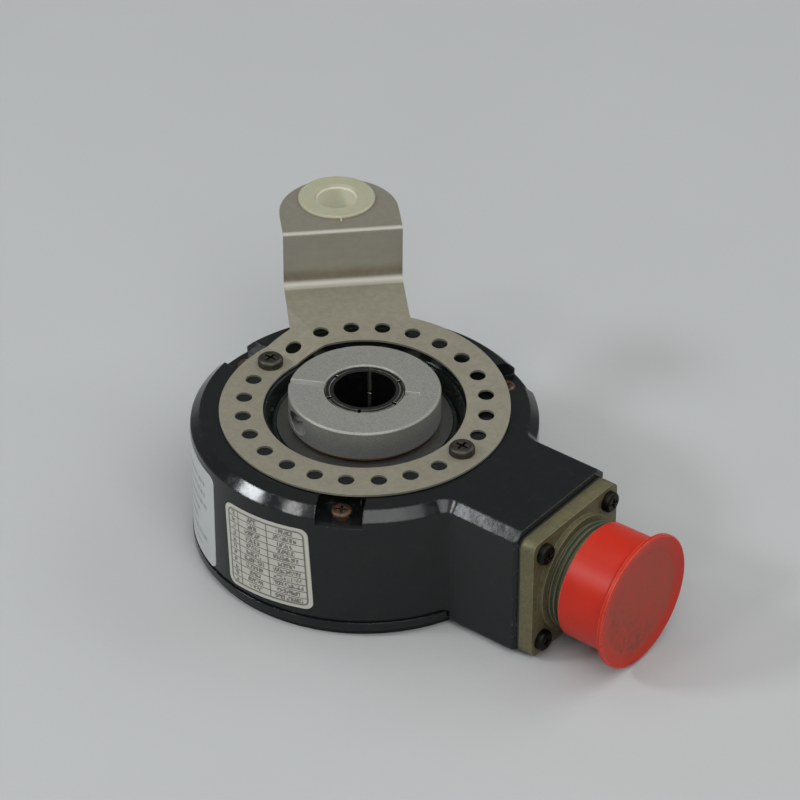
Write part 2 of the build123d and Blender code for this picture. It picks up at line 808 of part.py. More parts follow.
def connector_pins():
    body = Pos(0, 0, pin_back) * Cylinder(pin_body, insert_front - pin_back, align=UPRIGHT)
    tip_length = pin_front - insert_front
    tip = Pos(0, 0, insert_front) * Cylinder(pin_tip, tip_length, align=UPRIGHT)
    tip = chamfer(tip.edges().sort_by(Axis.Z)[-1], 0.3)
    cup = Pos(0, 0, pin_back) * Cylinder(wire_radius + fit, 2 * 2.0)
    pin = body + tip - cup
    return [on_connector(Pos(-up, across, 0) * pin) for up, across in pin_places()]


def wire_end(index):
    """Where a wire enters the board's header."""
    pitch = 2 * header_half_width / (pin_ring_count + 2.5)
    across = (index - (pin_ring_count + 1) / 2) * pitch
    return (header_outer, across, level(board_bottom - header_drop / 2))


def connector_wires():
    wires = []
    for index, (up, across) in enumerate(pin_places()):
        start = (pin_back + 1.5, across, level(connector_height) + up)
        end = wire_end(index)
        first_bend = (pin_back - wire_straight, start[1], start[2])
        last_bend = (end[0] + wire_straight, end[1], end[2])
        soldered = (end[0] - 2.0, end[1], end[2])
        path = FilletPolyline(start, first_bend, last_bend, soldered, radius=wire_bend)
        section = Plane(origin=path @ 0, z_dir=path % 0) * Circle(wire_radius)
        wires.append(sweep(section, path))
    return wires


def flange_screws():
    screw = pan_screw(flange_screw_radius, flange_screw_length, flange_screw_head, flange_screw_head_height)
    return [place * screw for place in flange_screw_places(flange_front)]


def dust_cap():
    dish_floor = cap_face - cap_dish_depth
    inner = thread_radius + running
    outline = FilletPolyline(
        (cap_mouth_radius, 0, cap_mouth), (cap_root_radius, 0, cap_rim_back),
        (cap_rim_radius, 0, cap_rim_back), radius=cap_fillet)
    rim = Polyline(
        (cap_rim_radius, 0, cap_rim_back), (cap_rim_radius, 0, cap_face - 0.3),
        (cap_rim_radius - 0.3, 0, cap_face),
        (cap_dish_radius, 0, dish_floor), (0, 0, dish_floor),
        (0, 0, cap_floor), (inner, 0, cap_floor), (inner, 0, cap_mouth), (cap_mouth_radius, 0, cap_mouth))
    return on_connector(revolve(make_face(outline.edges() + rim.edges()), Axis.Z))


# --- Labels -------------------------------------------------------------------------------------

def side_label(size, place, tilt):
    angle, height = place
    plan = RectangleRounded(size[0], size[1], label_corner)
    cutter = Rot(0, 90, 0) * Rot(0, 0, 90 + tilt) * extrude(plan, 2 * body_radius)
    skin = ring(body_radius + label_thickness, body_radius, seam_height, top_height - edge_chamfer)
    return skin & (Rot(0, 0, angle) * Pos(0, 0, level(height)) * cutter)


def wiring_label():
    return side_label(wiring_label_size, wiring_label_place, wiring_label_tilt)


def rating_label():
    return side_label(rating_label_size, rating_label_place, rating_label_tilt)


def export(name, shape):
    """Writes one node: a single piece, or a group of separate ones."""
    pieces = shape if isinstance(shape, list) else [shape]
    solids = [solid for piece in pieces for solid in piece.solids()]
    whole = solids[0] if len(solids) == 1 else Compound(children=list(solids))
    export_step(whole, f"parts/{name}.step")


def main():
    os.makedirs("parts", exist_ok=True)
    makers = [
        housing, base_plate, base_gasket, case_screws, tether_plate, tether_screws, tether_bushing,
        hollow_shaft, bore_insert, clamp_collar, clamp_screw, slinger, code_disc, disc_clamp,
        inner_spacer, outer_spacer, shaft_circlip, carrier_circlip, bearing_carrier, carrier_screws,
        upper_shaft_seal, lower_shaft_seal, main_board, board_chips, board_header, board_standoffs,
        board_screws, read_head_frame, emitter_led, sensor_board, photo_sensor, reticle, link_pins,
        connector_gasket, connector_shell, connector_insert, connector_pins, connector_wires,
        flange_screws, dust_cap, wiring_label, rating_label]
    for maker in makers:
        export(maker.__name__, maker())
    for position, bottom in (("upper", upper_bearing_bottom), ("lower", lower_bearing_bottom)):
        export(f"{position}_outer_race", outer_race(bottom))
        export(f"{position}_inner_race", inner_race(bottom))
        export(f"{position}_bearing_cage", bearing_cage(bottom))
        export(f"{position}_bearing_balls", bearing_balls(bottom))


main()
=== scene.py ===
"""Looks of the hollow-shaft rotary encoder: its finishes, its floor, its light and its camera."""

import json
from math import cos, hypot, radians, sin

import bpy
from mathutils import Matrix, Vector

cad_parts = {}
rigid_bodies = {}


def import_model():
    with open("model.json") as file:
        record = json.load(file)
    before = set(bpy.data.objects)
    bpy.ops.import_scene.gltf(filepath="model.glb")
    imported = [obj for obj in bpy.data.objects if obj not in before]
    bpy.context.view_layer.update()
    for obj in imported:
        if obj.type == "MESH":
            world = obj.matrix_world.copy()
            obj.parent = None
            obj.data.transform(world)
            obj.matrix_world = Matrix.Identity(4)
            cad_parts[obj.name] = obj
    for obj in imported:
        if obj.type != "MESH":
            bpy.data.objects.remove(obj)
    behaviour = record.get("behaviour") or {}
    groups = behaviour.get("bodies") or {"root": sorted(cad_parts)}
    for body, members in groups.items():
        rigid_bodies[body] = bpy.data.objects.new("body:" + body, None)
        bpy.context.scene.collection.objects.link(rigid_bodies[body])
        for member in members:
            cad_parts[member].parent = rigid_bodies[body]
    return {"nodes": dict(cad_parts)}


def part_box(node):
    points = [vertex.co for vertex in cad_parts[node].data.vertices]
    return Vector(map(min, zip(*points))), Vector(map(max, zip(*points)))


for leftover in list(bpy.data.objects):
    bpy.data.objects.remove(leftover)

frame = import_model()
bpy.context.view_layer.update()
nodes = frame["nodes"]


def millimetres(metres):
    return metres * 1000


def middle(node):
    """Centre of a node's box, in millimetres."""
    low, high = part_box(node)
    return millimetres((low + high) / 2)


floor_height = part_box("base_plate")[0].z
case_radius = -millimetres(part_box("housing")[0]).y
connector_axis = middle("dust_cap").z
cap_low, cap_high = (millimetres(corner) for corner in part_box("dust_cap"))
barrel_start = cap_low.x - 4.4
collar_top = millimetres(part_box("clamp_collar")[1]).z
collar_slot_angle = 207.4
collar_slot_width = 1.8
blind_slot_reach = 14.0
insert_radius = millimetres(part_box("bore_insert")[1]).x
bushing_centre = middle("tether_bushing")
bushing_bore_radius = 5.4
bushing_to_riser = 14.2
riser_place = hypot(bushing_centre.x, bushing_centre.y) - bushing_to_riser
riser_foot = 5.3
tab_height = millimetres(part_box("tether_plate")[1]).z
disc_track_inner = 26.0
disc_track_outer = 29.6
wiring_label_angle = -85.7
wiring_label_tilt = 3.0
rating_label_angle = -134.5


class Value:
    """A shader socket that Python's operators work on."""

    def __init__(self, finish, socket):
        self.finish = finish
        self.socket = socket

    def maths(self, operation, *values):
        return self.finish.node("Math", {"operation": operation}, dict(enumerate(values)))[0]

    def __add__(self, other):
        return self.maths("ADD", self, other)

    def __radd__(self, other):
        return self.maths("ADD", other, self)

    def __sub__(self, other):
        return self.maths("SUBTRACT", self, other)

    def __rsub__(self, other):
        return self.maths("SUBTRACT", other, self)

    def __mul__(self, other):
        return self.maths("MULTIPLY", self, other)

    def __rmul__(self, other):
        return self.maths("MULTIPLY", other, self)

    def __truediv__(self, other):
        return self.maths("DIVIDE", self, other)

    def __abs__(self):
        return self.maths("ABSOLUTE", self)

    def larger(self, other):
        return self.maths("MAXIMUM", self, other)

    def whole(self):
        return self.maths("FLOOR", self)

    def fraction(self):
        return self.maths("FRACT", self)

    def above(self, low, high):
        """0 below low, 1 above high, and smooth between them."""
        settings = {"interpolation_type": "SMOOTHSTEP"}
        return self.finish.node("MapRange", settings, {"Value": self, "From Min": low, "From Max": high})[0]

    def below(self, low, high):
        return 1 - self.above(low, high)

    def near(self, centre, reach):
        """1 at centre, falling smoothly to 0 at reach from it."""
        return abs(self - centre).below(0.0, reach)


class Made:
    """A node's outputs, by name or number."""

    def __init__(self, finish, node):
        self.finish = finish
        self.outputs = node.outputs

    def __getitem__(self, output):
        return Value(self.finish, self.outputs[output])


class Finish:
    """A material while it is being made. Its lengths are millimetres."""

    def __init__(self, name, **constants):
        self.material = bpy.data.materials.new(name)
        self.material.use_nodes = True
        self.tree = self.material.node_tree
        self.shader = self.tree.nodes["Principled BSDF"]
        for socket, value in constants.items():
            self.shader.inputs[socket.replace("_", " ")].default_value = value
        metres = self.node("TexCoord")["Object"]
        self.place = self.node("VectorMath", {"operation": "SCALE"}, {0: metres, "Scale": 1000.0})[0]
        self.normal = self.node("NewGeometry")["Normal"]

    def node(self, kind, settings=None, sockets=None):
        """Adds a node: its settings first, then its sockets' values and links."""
        node = self.tree.nodes.new("ShaderNode" + kind)
        for name, value in (settings or {}).items():
            setattr(node, name, value)
        for name, value in (sockets or {}).items():
            if isinstance(value, Value):
                self.tree.links.new(value.socket, node.inputs[name])
            else:
                node.inputs[name].default_value = value
        return Made(self, node)

    def axes(self, vector=None):
        parts = self.node("SeparateXYZ", None, {0: vector or self.place})
        return parts["X"], parts["Y"], parts["Z"]

    def vector(self, x, y, z):
        return self.node("CombineXYZ", None, {"X": x, "Y": y, "Z": z})[0]

    def length(self, x, y):
        """How far the point x, y is from the origin."""
        place = self.vector(x, y, 0.0)
        return self.node("VectorMath", {"operation": "LENGTH"}, {0: place})["Value"]

    def chance(self, number):
        """A value from 0 to 1 that looks random and is the same for the same number."""
        return self.node("TexWhiteNoise", {"noise_dimensions": "1D"}, {"W": number})[0]

    def moved(self, offset, stretch=(1, 1, 1), place=None):
        """The place, shifted and then stretched, so that noises differ."""
        shifted = self.node("VectorMath", {"operation": "ADD"}, {0: place or self.place, 1: offset})[0]
        return self.node("VectorMath", {"operation": "MULTIPLY"}, {0: shifted, 1: stretch})[0]

    def noise(self, size, seed=0.0, detail=3.0, roughness=0.55, stretch=(1, 1, 1), place=None):
        """Soft noise from 0 to 1 whose patches are about size across."""
        offset = (37.0 * seed, 11.0 * seed, 5.0 * seed)
        sockets = {"Vector": self.moved(offset, stretch, place), "Scale": 1.0 / size, "Detail": detail,
                   "Roughness": roughness}
        return self.node("TexNoise", None, sockets)[0]

    def mix(self, factor, first, second):
        """Colour first, turning into second as factor goes to 1."""
        sockets = {0: factor, 6: colour(first), 7: colour(second)}
        return self.node("Mix", {"data_type": "RGBA"}, sockets)[2]

    def rounded(self, radius):
        """The surface's normal with its edges rounded off."""
        return self.node("Bevel", {"samples": 4}, {"Radius": radius / 1000})[0]

    def edges(self, rounded):
        """1 on edges and 0 on plain faces, from a rounded normal."""
        sockets = {0: rounded, 1: self.normal}
        product = self.node("VectorMath", {"operation": "DOT_PRODUCT"}, sockets)["Value"]
        return (1 - product).above(0.004, 0.09)

    def bump(self, height, depth, normal=None):
        """Normal of a height from 0 to 1 that stands depth tall."""
        sockets = {"Height": height, "Distance": depth / 1000, "Normal": normal or self.normal}
        return self.node("Bump", None, sockets)[0]

    def done(self, **sockets):
        """Feeds the shader's sockets and gives the material."""
        for name, value in sockets.items():
            socket = self.shader.inputs[name.replace("_", " ")]
            if isinstance(value, Value):
                self.tree.links.new(value.socket, socket)
            else:
                socket.default_value = value
        return self.material


def colour(value):
    """A colour socket's value, from a link or from a red, green and blue."""
    if isinstance(value, Value):
        return value
    return (*value, 1.0)


def dress(material, *names):
    """Gives the named nodes one material."""
    for name in names:
        slots = nodes[name].data.materials
        slots.clear()
        slots.append(material)


def case_paint():
    """Thick glossy black paint, rubbed and dusty."""
    finish = Finish("case_paint", IOR=1.5, Specular_IOR_Level=0.36)
    rounded = finish.rounded(0.6)
    edge = finish.edges(rounded)
    dull = finish.noise(14, 1, 4)
    grime = finish.noise(3.5, 2, 5, 0.65)
    specks = finish.noise(0.55, 3, 2).above(0.70, 0.76)
    scratches = finish.noise(0.5, 4, 2, stretch=(1, 0.06, 1)).above(0.66, 0.70)
    chips = edge * finish.noise(1.3, 5, 4).above(0.58, 0.66)
    paint = finish.mix(dull, (0.0048, 0.0060, 0.0066), (0.0085, 0.0098, 0.0102))
    paint = finish.mix(grime.above(0.5, 0.75) * 0.30, paint, (0.018, 0.019, 0.017))
    paint = finish.mix(specks * 0.25, paint, (0.09, 0.09, 0.08))
    paint = finish.mix(scratches * 0.08, paint, (0.05, 0.052, 0.055))
    paint = finish.mix(chips * 0.6, paint, (0.16, 0.155, 0.14))
    roughness = 0.08 + 0.09 * dull + 0.14 * grime.above(0.45, 0.8) + 0.06 * scratches
    peel = finish.noise(1.6, 6, 2)
    wave = finish.noise(7, 7, 1)
    normal = finish.bump(peel * 0.3 + wave * 0.7, 0.04, rounded)
    return finish.done(Base_Color=paint, Roughness=roughness, Normal=normal)


def tether_steel():
    """Spring steel sheet: warm and satin, with painted highlights on its bends, painted light on its
    upright face and a stain low on that face.
    """
    finish = Finish("tether_steel", Metallic=0.45)
    x, y, z = finish.axes()
    along = (y - x) * 0.70711
    rounded = finish.rounded(0.12)
    edge = finish.edges(rounded)
    cloud = finish.noise(9, 1, 4)
    mottle = finish.noise(1.8, 2, 4, 0.6)
    grain = finish.noise(0.22, 3, 2)
    streak = finish.noise(2.6, 4, 3, stretch=(0.25, 0.25, 1))
    warm = finish.mix(cloud, (0.285, 0.264, 0.200), (0.360, 0.336, 0.262))
    steel = finish.mix(mottle.above(0.3, 0.7) * 0.5, warm, (0.235, 0.220, 0.168))
    steel = finish.mix(grain.above(0.5, 0.7) * 0.22, steel, (0.13, 0.12, 0.095))
    # Painted light: the upright face is made lighter in colour to stand for the front light falling on it.
    riser_painted_light = z.above(riser_foot, riser_foot + 0.8) * z.below(tab_height - 1.4, tab_height - 0.7)
    steel = finish.mix(riser_painted_light * (0.5 + 0.4 * streak), steel, (0.47, 0.46, 0.40))
    stain = z.above(riser_foot + 1.0, riser_foot + 1.8) * z.below(riser_foot + 2.8, riser_foot + 6.0)
    steel = finish.mix(stain * (0.45 + 0.4 * mottle), steel, (0.24, 0.19, 0.125))
    tab = z.above(tab_height - 0.9, tab_height - 0.5)
    steel = finish.mix(tab * 0.5, steel, (0.235, 0.226, 0.185))
    # Painted highlights: bands on both bends are made lighter in colour where the bends catch the light.
    lower_bend_painted_highlight = along.above(riser_place - 2.6, riser_place - 2.0)
    lower_bend_painted_highlight = lower_bend_painted_highlight * z.below(riser_foot + 0.9, riser_foot + 1.6)
    upper_bend_painted_highlight = along.near(riser_place - 0.9, 0.9) * tab
    painted_bend_highlight = (lower_bend_painted_highlight * 0.55).larger(upper_bend_painted_highlight * 0.8)
    steel = finish.mix(painted_bend_highlight * (0.4 + 0.5 * mottle), steel, (0.62, 0.61, 0.56))
    steel = finish.mix(edge * 0.5, steel, (0.55, 0.53, 0.48))
    roughness = 0.42 + 0.16 * mottle + 0.08 * cloud - 0.10 * edge
    normal = finish.bump(grain * 0.5 + mottle * 0.5, 0.010, rounded)
    return finish.done(Base_Color=steel, Roughness=roughness, Normal=normal)


def collar_aluminium():
    """Blasted and weathered aluminium with a rubbed rim, and with painted light on the walls of its slots.
    """
    finish = Finish("collar_aluminium", Metallic=0.55)
    x, y, z = finish.axes()
    rounded = finish.rounded(0.25)
    edge = finish.edges(rounded)
    cloud = finish.noise(6, 1, 4)
    grain = finish.noise(0.35, 2, 3, 0.7)
    pits = finish.noise(0.7, 3, 3).above(0.62, 0.72)
    top = z.above(collar_top - 0.6, collar_top - 0.2)
    turn = radians(collar_slot_angle)
    across_slot = abs(y * cos(turn) - x * sin(turn))
    along_slot = x * cos(turn) + y * sin(turn)
    # Painted light: the slots' walls are made near white to stand for light reflected inside the slots.
    slot_painted_light = across_slot.below(collar_slot_width / 2 + 0.02, collar_slot_width / 2 + 0.08)
    slot_painted_light = slot_painted_light * along_slot.above(-blind_slot_reach - 0.15, -blind_slot_reach - 0.05)
    metal = finish.mix(cloud, (0.265, 0.272, 0.258), (0.345, 0.348, 0.322))
    metal = finish.mix(top * 0.6, metal, (0.385, 0.380, 0.338))
    metal = finish.mix(grain.above(0.40, 0.65) * 0.55, metal, (0.19, 0.19, 0.17))
    metal = finish.mix(pits * 0.35, metal, (0.10, 0.10, 0.09))
    metal = finish.mix(edge * 0.6, metal, (0.66, 0.66, 0.62))
    metal = finish.mix(slot_painted_light * 0.75, metal, (0.88, 0.88, 0.84))
    roughness = 0.44 + 0.18 * grain - 0.18 * edge
    normal = finish.bump(grain, 0.045, rounded)
    return finish.done(Base_Color=metal, Roughness=roughness, Normal=normal)


def black_oxide():
    """Blackened steel, rubbed back to metal on its edges and bare inside its bore."""
    finish = Finish("black_oxide", Metallic=1.0)
    x, y, _ = finish.axes()
    rounded = finish.rounded(0.3)
    edge = finish.edges(rounded)
    mottle = finish.noise(1.2, 1, 4)
    bare = finish.length(x, y).below(insert_radius + 0.1, insert_radius + 0.2)
    steel = finish.mix(mottle, (0.03, 0.03, 0.03), (0.08, 0.08, 0.075))
    steel = finish.mix(edge * mottle.above(0.30, 0.55) * 0.8, steel, (0.50, 0.49, 0.45))
    steel = finish.mix(bare, steel, (0.85, 0.85, 0.82))
    normal = finish.bump(finish.noise(0.3, 2, 2), 0.01, rounded)
    return finish.done(Base_Color=steel, Roughness=0.28 + 0.25 * mottle, Normal=normal)


def screw_black(name="dark_screw", rust=0.0, dust=1.0):
    """Blackened screw steel with dust on it, and with patches of rust where rust is above 0."""
    finish = Finish(name, Metallic=1.0)
    rounded = finish.rounded(0.18)
    edge = finish.edges(rounded)
    mottle = finish.noise(0.9, 1, 4, 0.65)
    patches = finish.noise(1.4, 2, 5, 0.7).above(0.42, 0.62)
    steel = finish.mix(mottle, (0.05, 0.047, 0.038), (0.13, 0.123, 0.10))
    steel = finish.mix(1 - dust * (0.7 + 0.3 * mottle), steel, (0.014, 0.014, 0.014))
    steel = finish.mix(edge * (0.2 + 0.3 * dust), steel, (0.25, 0.24, 0.21))
    if rust:
        steel = finish.mix(patches * rust, steel, (0.30, 0.105, 0.045))
        steel = finish.mix(finish.noise(0.8, 4, 4).above(0.60, 0.68) * 0.6, steel, (0.45, 0.43, 0.40))
    roughness = 0.36 + 0.25 * mottle + rust * 0.2 * patches
    normal = finish.bump(mottle, 0.03, rounded)
    return finish.done(Base_Color=steel, Roughness=roughness, Normal=normal)


def olive_plate():
    """Olive drab plating, worn to brass on its edges and greener on its barrel."""
    finish = Finish("olive_shell", Metallic=0.35)
    x = finish.axes()[0]
    rounded = finish.rounded(0.22)
    edge = finish.edges(rounded)
    cloud = finish.noise(4, 1, 4)
    mottle = finish.noise(0.9, 2, 4, 0.65)
    plate = finish.mix(cloud, (0.120, 0.108, 0.054), (0.190, 0.174, 0.092))
    plate = finish.mix(mottle.above(0.40, 0.75) * 0.5, plate, (0.052, 0.044, 0.026))
    barrel = x.above(barrel_start - 0.2, barrel_start + 0.2)
    plate = finish.mix(barrel * 0.65, plate, (0.032, 0.050, 0.030))
    plate = finish.mix(edge * (0.35 + 0.4 * mottle), plate, (0.36, 0.34, 0.23))
    roughness = 0.42 + 0.22 * mottle - 0.08 * edge
    normal = finish.bump(mottle, 0.012, rounded)
    return finish.done(Base_Color=plate, Roughness=roughness, Normal=normal)


def cap_plastic():
    """Soft red moulded plastic with brown dirt and dark marks on its face and a pale, nicked rim."""
    constants = {"Subsurface_Weight": 0.08, "Subsurface_Scale": 0.0015, "Specular_IOR_Level": 0.35}
    finish = Finish("cap_red", IOR=1.47, **constants)
    x, y, z = finish.axes()
    rounded = finish.rounded(0.3)
    edge = finish.edges(rounded)
    height = z - connector_axis
    cloud = finish.noise(8, 1, 3)
    smear = finish.noise(5, 2, 5, 0.65, stretch=(1, 1.6, 0.8))
    nicks = finish.noise(0.8, 3, 3)
    red = finish.mix(cloud, (0.45, 0.014, 0.004), (0.58, 0.026, 0.008))
    face = x.above(cap_high.x - 1.0, cap_high.x - 0.7)
    dish = finish.length(y, height).below(12.4, 17.0) * face
    dirt = dish * (0.55 + 0.45 * smear.above(0.30, 0.62))
    red = finish.mix(dirt * 0.66, red, (0.30, 0.085, 0.055))
    low_side = (y + height).below(-12.0, -1.0)
    marks = dish * low_side * finish.noise(1.9, 5, 5, 0.7).above(0.47, 0.60)
    red = finish.mix(marks * 0.42, red, (0.085, 0.045, 0.035))
    red = finish.mix(edge * nicks.above(0.30, 0.55) * 0.8, red, (0.80, 0.27, 0.15))
    roughness = 0.34 + 0.12 * cloud + 0.22 * dirt
    normal = finish.bump(finish.noise(2.2, 6, 2) * 0.6 + nicks * 0.4, 0.03, rounded)
    return finish.done(Base_Color=red, Roughness=roughness, Normal=normal)


def nylon():
    """Natural nylon: cream and milky, paler on its edges, with painted light inside its bore."""
    constants = {"Subsurface_Weight": 0.55, "Subsurface_Scale": 0.004, "IOR": 1.53}
    finish = Finish("nylon", Transmission_Weight=0.10, **constants)
    rounded = finish.rounded(0.3)
    cloud = finish.noise(5, 1, 3)
    cream = finish.mix(cloud, (0.38, 0.38, 0.26), (0.46, 0.46, 0.33))
    x, y, _ = finish.axes()
    reach = finish.length(x - bushing_centre.x, y - bushing_centre.y)
    bore = reach.below(bushing_bore_radius - 0.2, bushing_bore_radius + 0.2)
    cream = finish.mix(finish.edges(rounded) * 0.4, cream, (0.62, 0.60, 0.42))
    # Painted light: the bore's walls are made near white to stand for light seen inside the bore.
    cream = finish.mix(bore * 0.8, cream, (0.78, 0.78, 0.62))
    normal = finish.bump(finish.noise(1.5, 2, 2), 0.012, rounded)
    return finish.done(Base_Color=cream, Roughness=0.34 + 0.12 * cloud, Normal=normal)


def copper_ring():
    """Thin copper flinger, stained and tarnished."""
    finish = Finish("copper", Metallic=1.0)
    mottle = finish.noise(1.6, 1, 4)
    copper = finish.mix(mottle, (0.62, 0.26, 0.10), (0.38, 0.16, 0.07))
    normal = finish.bump(mottle, 0.01, finish.rounded(0.15))
    return finish.done(Base_Color=copper, Roughness=0.32 + 0.2 * mottle, Normal=normal)


def dark_rubber(name):
    """Nitrile rubber with a fine moulded grain."""
    finish = Finish(name)
    mottle = finish.noise(1.0, 1, 4)
    rubber = finish.mix(mottle, (0.012, 0.012, 0.012), (0.028, 0.028, 0.027))
    normal = finish.bump(finish.noise(0.3, 2, 2), 0.015, finish.rounded(0.2))
    return finish.done(Base_Color=rubber, Roughness=0.45 + 0.2 * mottle, Normal=normal)


def plain_metal(name, light, dark, roughness, size=1.0, metallic=1.0):
    """A metal or plastic of two near shades, with a fine grain."""
    finish = Finish(name, Metallic=metallic)
    rounded = finish.rounded(0.15)
    mottle = finish.noise(size, 1, 4)
    shade = finish.mix(mottle, dark, light)
    normal = finish.bump(finish.noise(size / 3, 2, 2), 0.008, rounded)
    return finish.done(Base_Color=shade, Roughness=roughness + 0.15 * mottle, Normal=normal)


def label_place(finish, centre_angle, centre_height, tilt=0.0):
    """Millimetres along and up a label that is wrapped round the case."""
    sockets = {"Vector": finish.place, "Angle": -radians(centre_angle)}
    turned = finish.node("VectorRotate", {"rotation_type": "Z_AXIS"}, sockets)[0]
    out, side, height = finish.axes(turned)
    along = side.maths("ARCTAN2", side, out) * case_radius
    up = height - centre_height
    slope = radians(tilt)
    return along * cos(slope) + up * sin(slope), up * cos(slope) - along * sin(slope)


def outside_frame(finish, along, up, half_width, half_height, corner):
    """How far a point is outside a frame with rounded corners. Inside, it is under 0."""
    reach_x = (abs(along) - (half_width - corner)).larger(0.0)
    reach_y = (abs(up) - (half_height - corner)).larger(0.0)
    outside = finish.length(reach_x, reach_y) - corner
    return outside.larger((abs(along) - half_width).larger(abs(up) - half_height))


def bar(along, centre, half_length, softness=0.2):
    """1 over a printed bar's length and 0 beyond it."""
    return abs(along - centre).below(half_length, half_length + softness)


def wiring_label():
    """Cream film with a printed table: a ruled frame, three columns and bars for entries."""
    finish = Finish("label_film", IOR=1.48)
    along, up = label_place(finish, wiring_label_angle, middle("wiring_label").z, wiring_label_tilt)
    half_width, half_height, corner = 11.5, 11.25, 1.5
    outside = outside_frame(finish, along, up, half_width, half_height, corner)
    frame_line = outside.near(0.0, 0.42)
    inside = outside.below(-0.12, 0.0)
    row_count = 11
    row_pitch = 2 * half_height / row_count
    row_place = (up + half_height) / row_pitch
    row_number = row_place.whole()
    from_middle = abs(row_place.fraction() - 0.5)
    row_line = from_middle.above(0.5 - 0.17 / row_pitch, 0.5 - 0.07 / row_pitch)
    first_column = 3.4 - half_width
    second_column = 1.1
    column_line = along.near(first_column, 0.30).larger(along.near(second_column, 0.30))
    row_line = row_line * along.above(first_column - 3.3, first_column - 3.2)
    ruled = row_line.larger(column_line) * inside
    letters = finish.vector(along, up * 0.55 + row_number * 9.0, 0.0)
    stroke = finish.noise(0.40, 9, 1, place=letters).above(0.42, 0.48)
    number = bar(along, (first_column - half_width) / 2, 0.50, 0.15)
    middle_length = 1.3 + 1.9 * finish.chance(row_number * 3.7 + 1.3)
    middle_word = bar(along, (first_column + second_column) / 2, middle_length)
    last_length = 2.1 + 2.2 * finish.chance(row_number * 5.1 + 8.9)
    last_word = bar(along, (second_column + half_width) / 2, last_length)
    in_row = from_middle.below(0.30, 0.36)
    words = middle_word.larger(last_word).larger(number) * in_row * stroke * inside
    ink = frame_line.larger(ruled).larger(words * 0.85)
    age = finish.noise(6, 1, 4)
    film = finish.mix(age, (0.47, 0.46, 0.40), (0.60, 0.59, 0.52))
    film = finish.mix(ink * 0.88, film, (0.045, 0.04, 0.035))
    normal = finish.bump(finish.noise(3, 3, 2), 0.02, finish.rounded(0.1))
    return finish.done(Base_Color=film, Roughness=0.38 + 0.15 * age, Normal=normal)


def rating_label():
    """Silver-white film with broken dark bars where its ratings are printed."""
    finish = Finish("label_foil", IOR=1.48, Metallic=0.15)
    along, up = label_place(finish, rating_label_angle, middle("rating_label").z)
    half_height = 13.0
    text_centre = 3.0
    line_pitch = 3.4
    line_place = (up + half_height) / line_pitch
    line_number = line_place.whole()
    letters = finish.vector(along, line_number * 9.0, 0.0)
    stroke = finish.noise(0.6, 9, 1, place=letters).above(0.44, 0.54)
    half_length = 5 + 8 * finish.chance(line_number * 2.3 + 0.7)
    in_line = abs(line_place.fraction() - 0.5).below(0.16, 0.24)
    words = in_line * stroke * bar(along, text_centre, half_length, 0.5) * abs(up).below(11.0, 11.6)
    age = finish.noise(7, 1, 4)
    foil = finish.mix(age, (0.50, 0.51, 0.505), (0.60, 0.61, 0.60))
    foil = finish.mix(words * 0.65, foil, (0.08, 0.08, 0.09))
    normal = finish.bump(finish.noise(3, 3, 2), 0.02, finish.rounded(0.1))
    return finish.done(Base_Color=foil, Roughness=0.36 + 0.14 * age, Normal=normal)


def circuit_board():
    """Green solder mask over copper tracks."""
    finish = Finish("board_green", IOR=1.5)
    tracks = finish.noise(1.1, 1, 1).near(0.5, 0.03)
    green = finish.mix(tracks, (0.010, 0.075, 0.028), (0.03, 0.16, 0.06))
    return finish.done(Base_Color=green, Roughness=0.3 + 0.1 * tracks, Normal=finish.bump(tracks, 0.02))


def disc_glass():
    """Dusty clear glass with the disc's dark track near its rim."""
    finish = Finish("disc_glass", IOR=1.5, Transmission_Weight=0.6)
    x, y, _ = finish.axes()
    reach = finish.length(x, y)
    track = reach.above(disc_track_inner, disc_track_inner + 0.1)
    track = track * reach.below(disc_track_outer, disc_track_outer + 0.1)
    dust = finish.noise(0.8, 1, 4).above(0.62, 0.8)
    glass = finish.mix(track * 0.8, (0.75, 0.80, 0.80), (0.08, 0.08, 0.09))
    glass = finish.mix(dust * 0.2, glass, (0.4, 0.4, 0.4))
    return finish.done(Base_Color=glass, Roughness=0.04 + 0.15 * dust)


def floor_cloth():
    """Pale matt backdrop."""
    finish = Finish("floor_cloth")
    cloud = finish.noise(120, 1, 3)
    pale = finish.mix(cloud, (0.462, 0.470, 0.468), (0.500, 0.508, 0.506))
    normal = finish.bump(finish.noise(1.2, 2, 2), 0.04)
    return finish.done(Base_Color=pale, Roughness=0.85 + 0.1 * cloud, Normal=normal)


def dress_outside():
    dress(case_paint(), "housing", "base_plate")
    dress(tether_steel(), "tether_plate")
    dress(collar_aluminium(), "clamp_collar")
    dress(black_oxide(), "hollow_shaft")
    dress(plain_metal("insert_steel", (0.10, 0.10, 0.095), (0.035, 0.035, 0.034), 0.3), "bore_insert")
    dress(screw_black(), "tether_screws", "carrier_screws", "board_screws")
    dress(screw_black("black_screw", dust=0.15), "flange_screws")
    dress(screw_black("zinc_screw", 0.6), "case_screws")
    dress(plain_metal("bright_screw", (0.62, 0.62, 0.60), (0.38, 0.38, 0.37), 0.22), "clamp_screw")
    dress(olive_plate(), "connector_shell")
    dress(cap_plastic(), "dust_cap")
    dress(nylon(), "tether_bushing")
    dress(copper_ring(), "slinger")
    dress(dark_rubber("gasket_rubber"), "base_gasket", "connector_gasket")
    dress(wiring_label(), "wiring_label")
    dress(rating_label(), "rating_label")


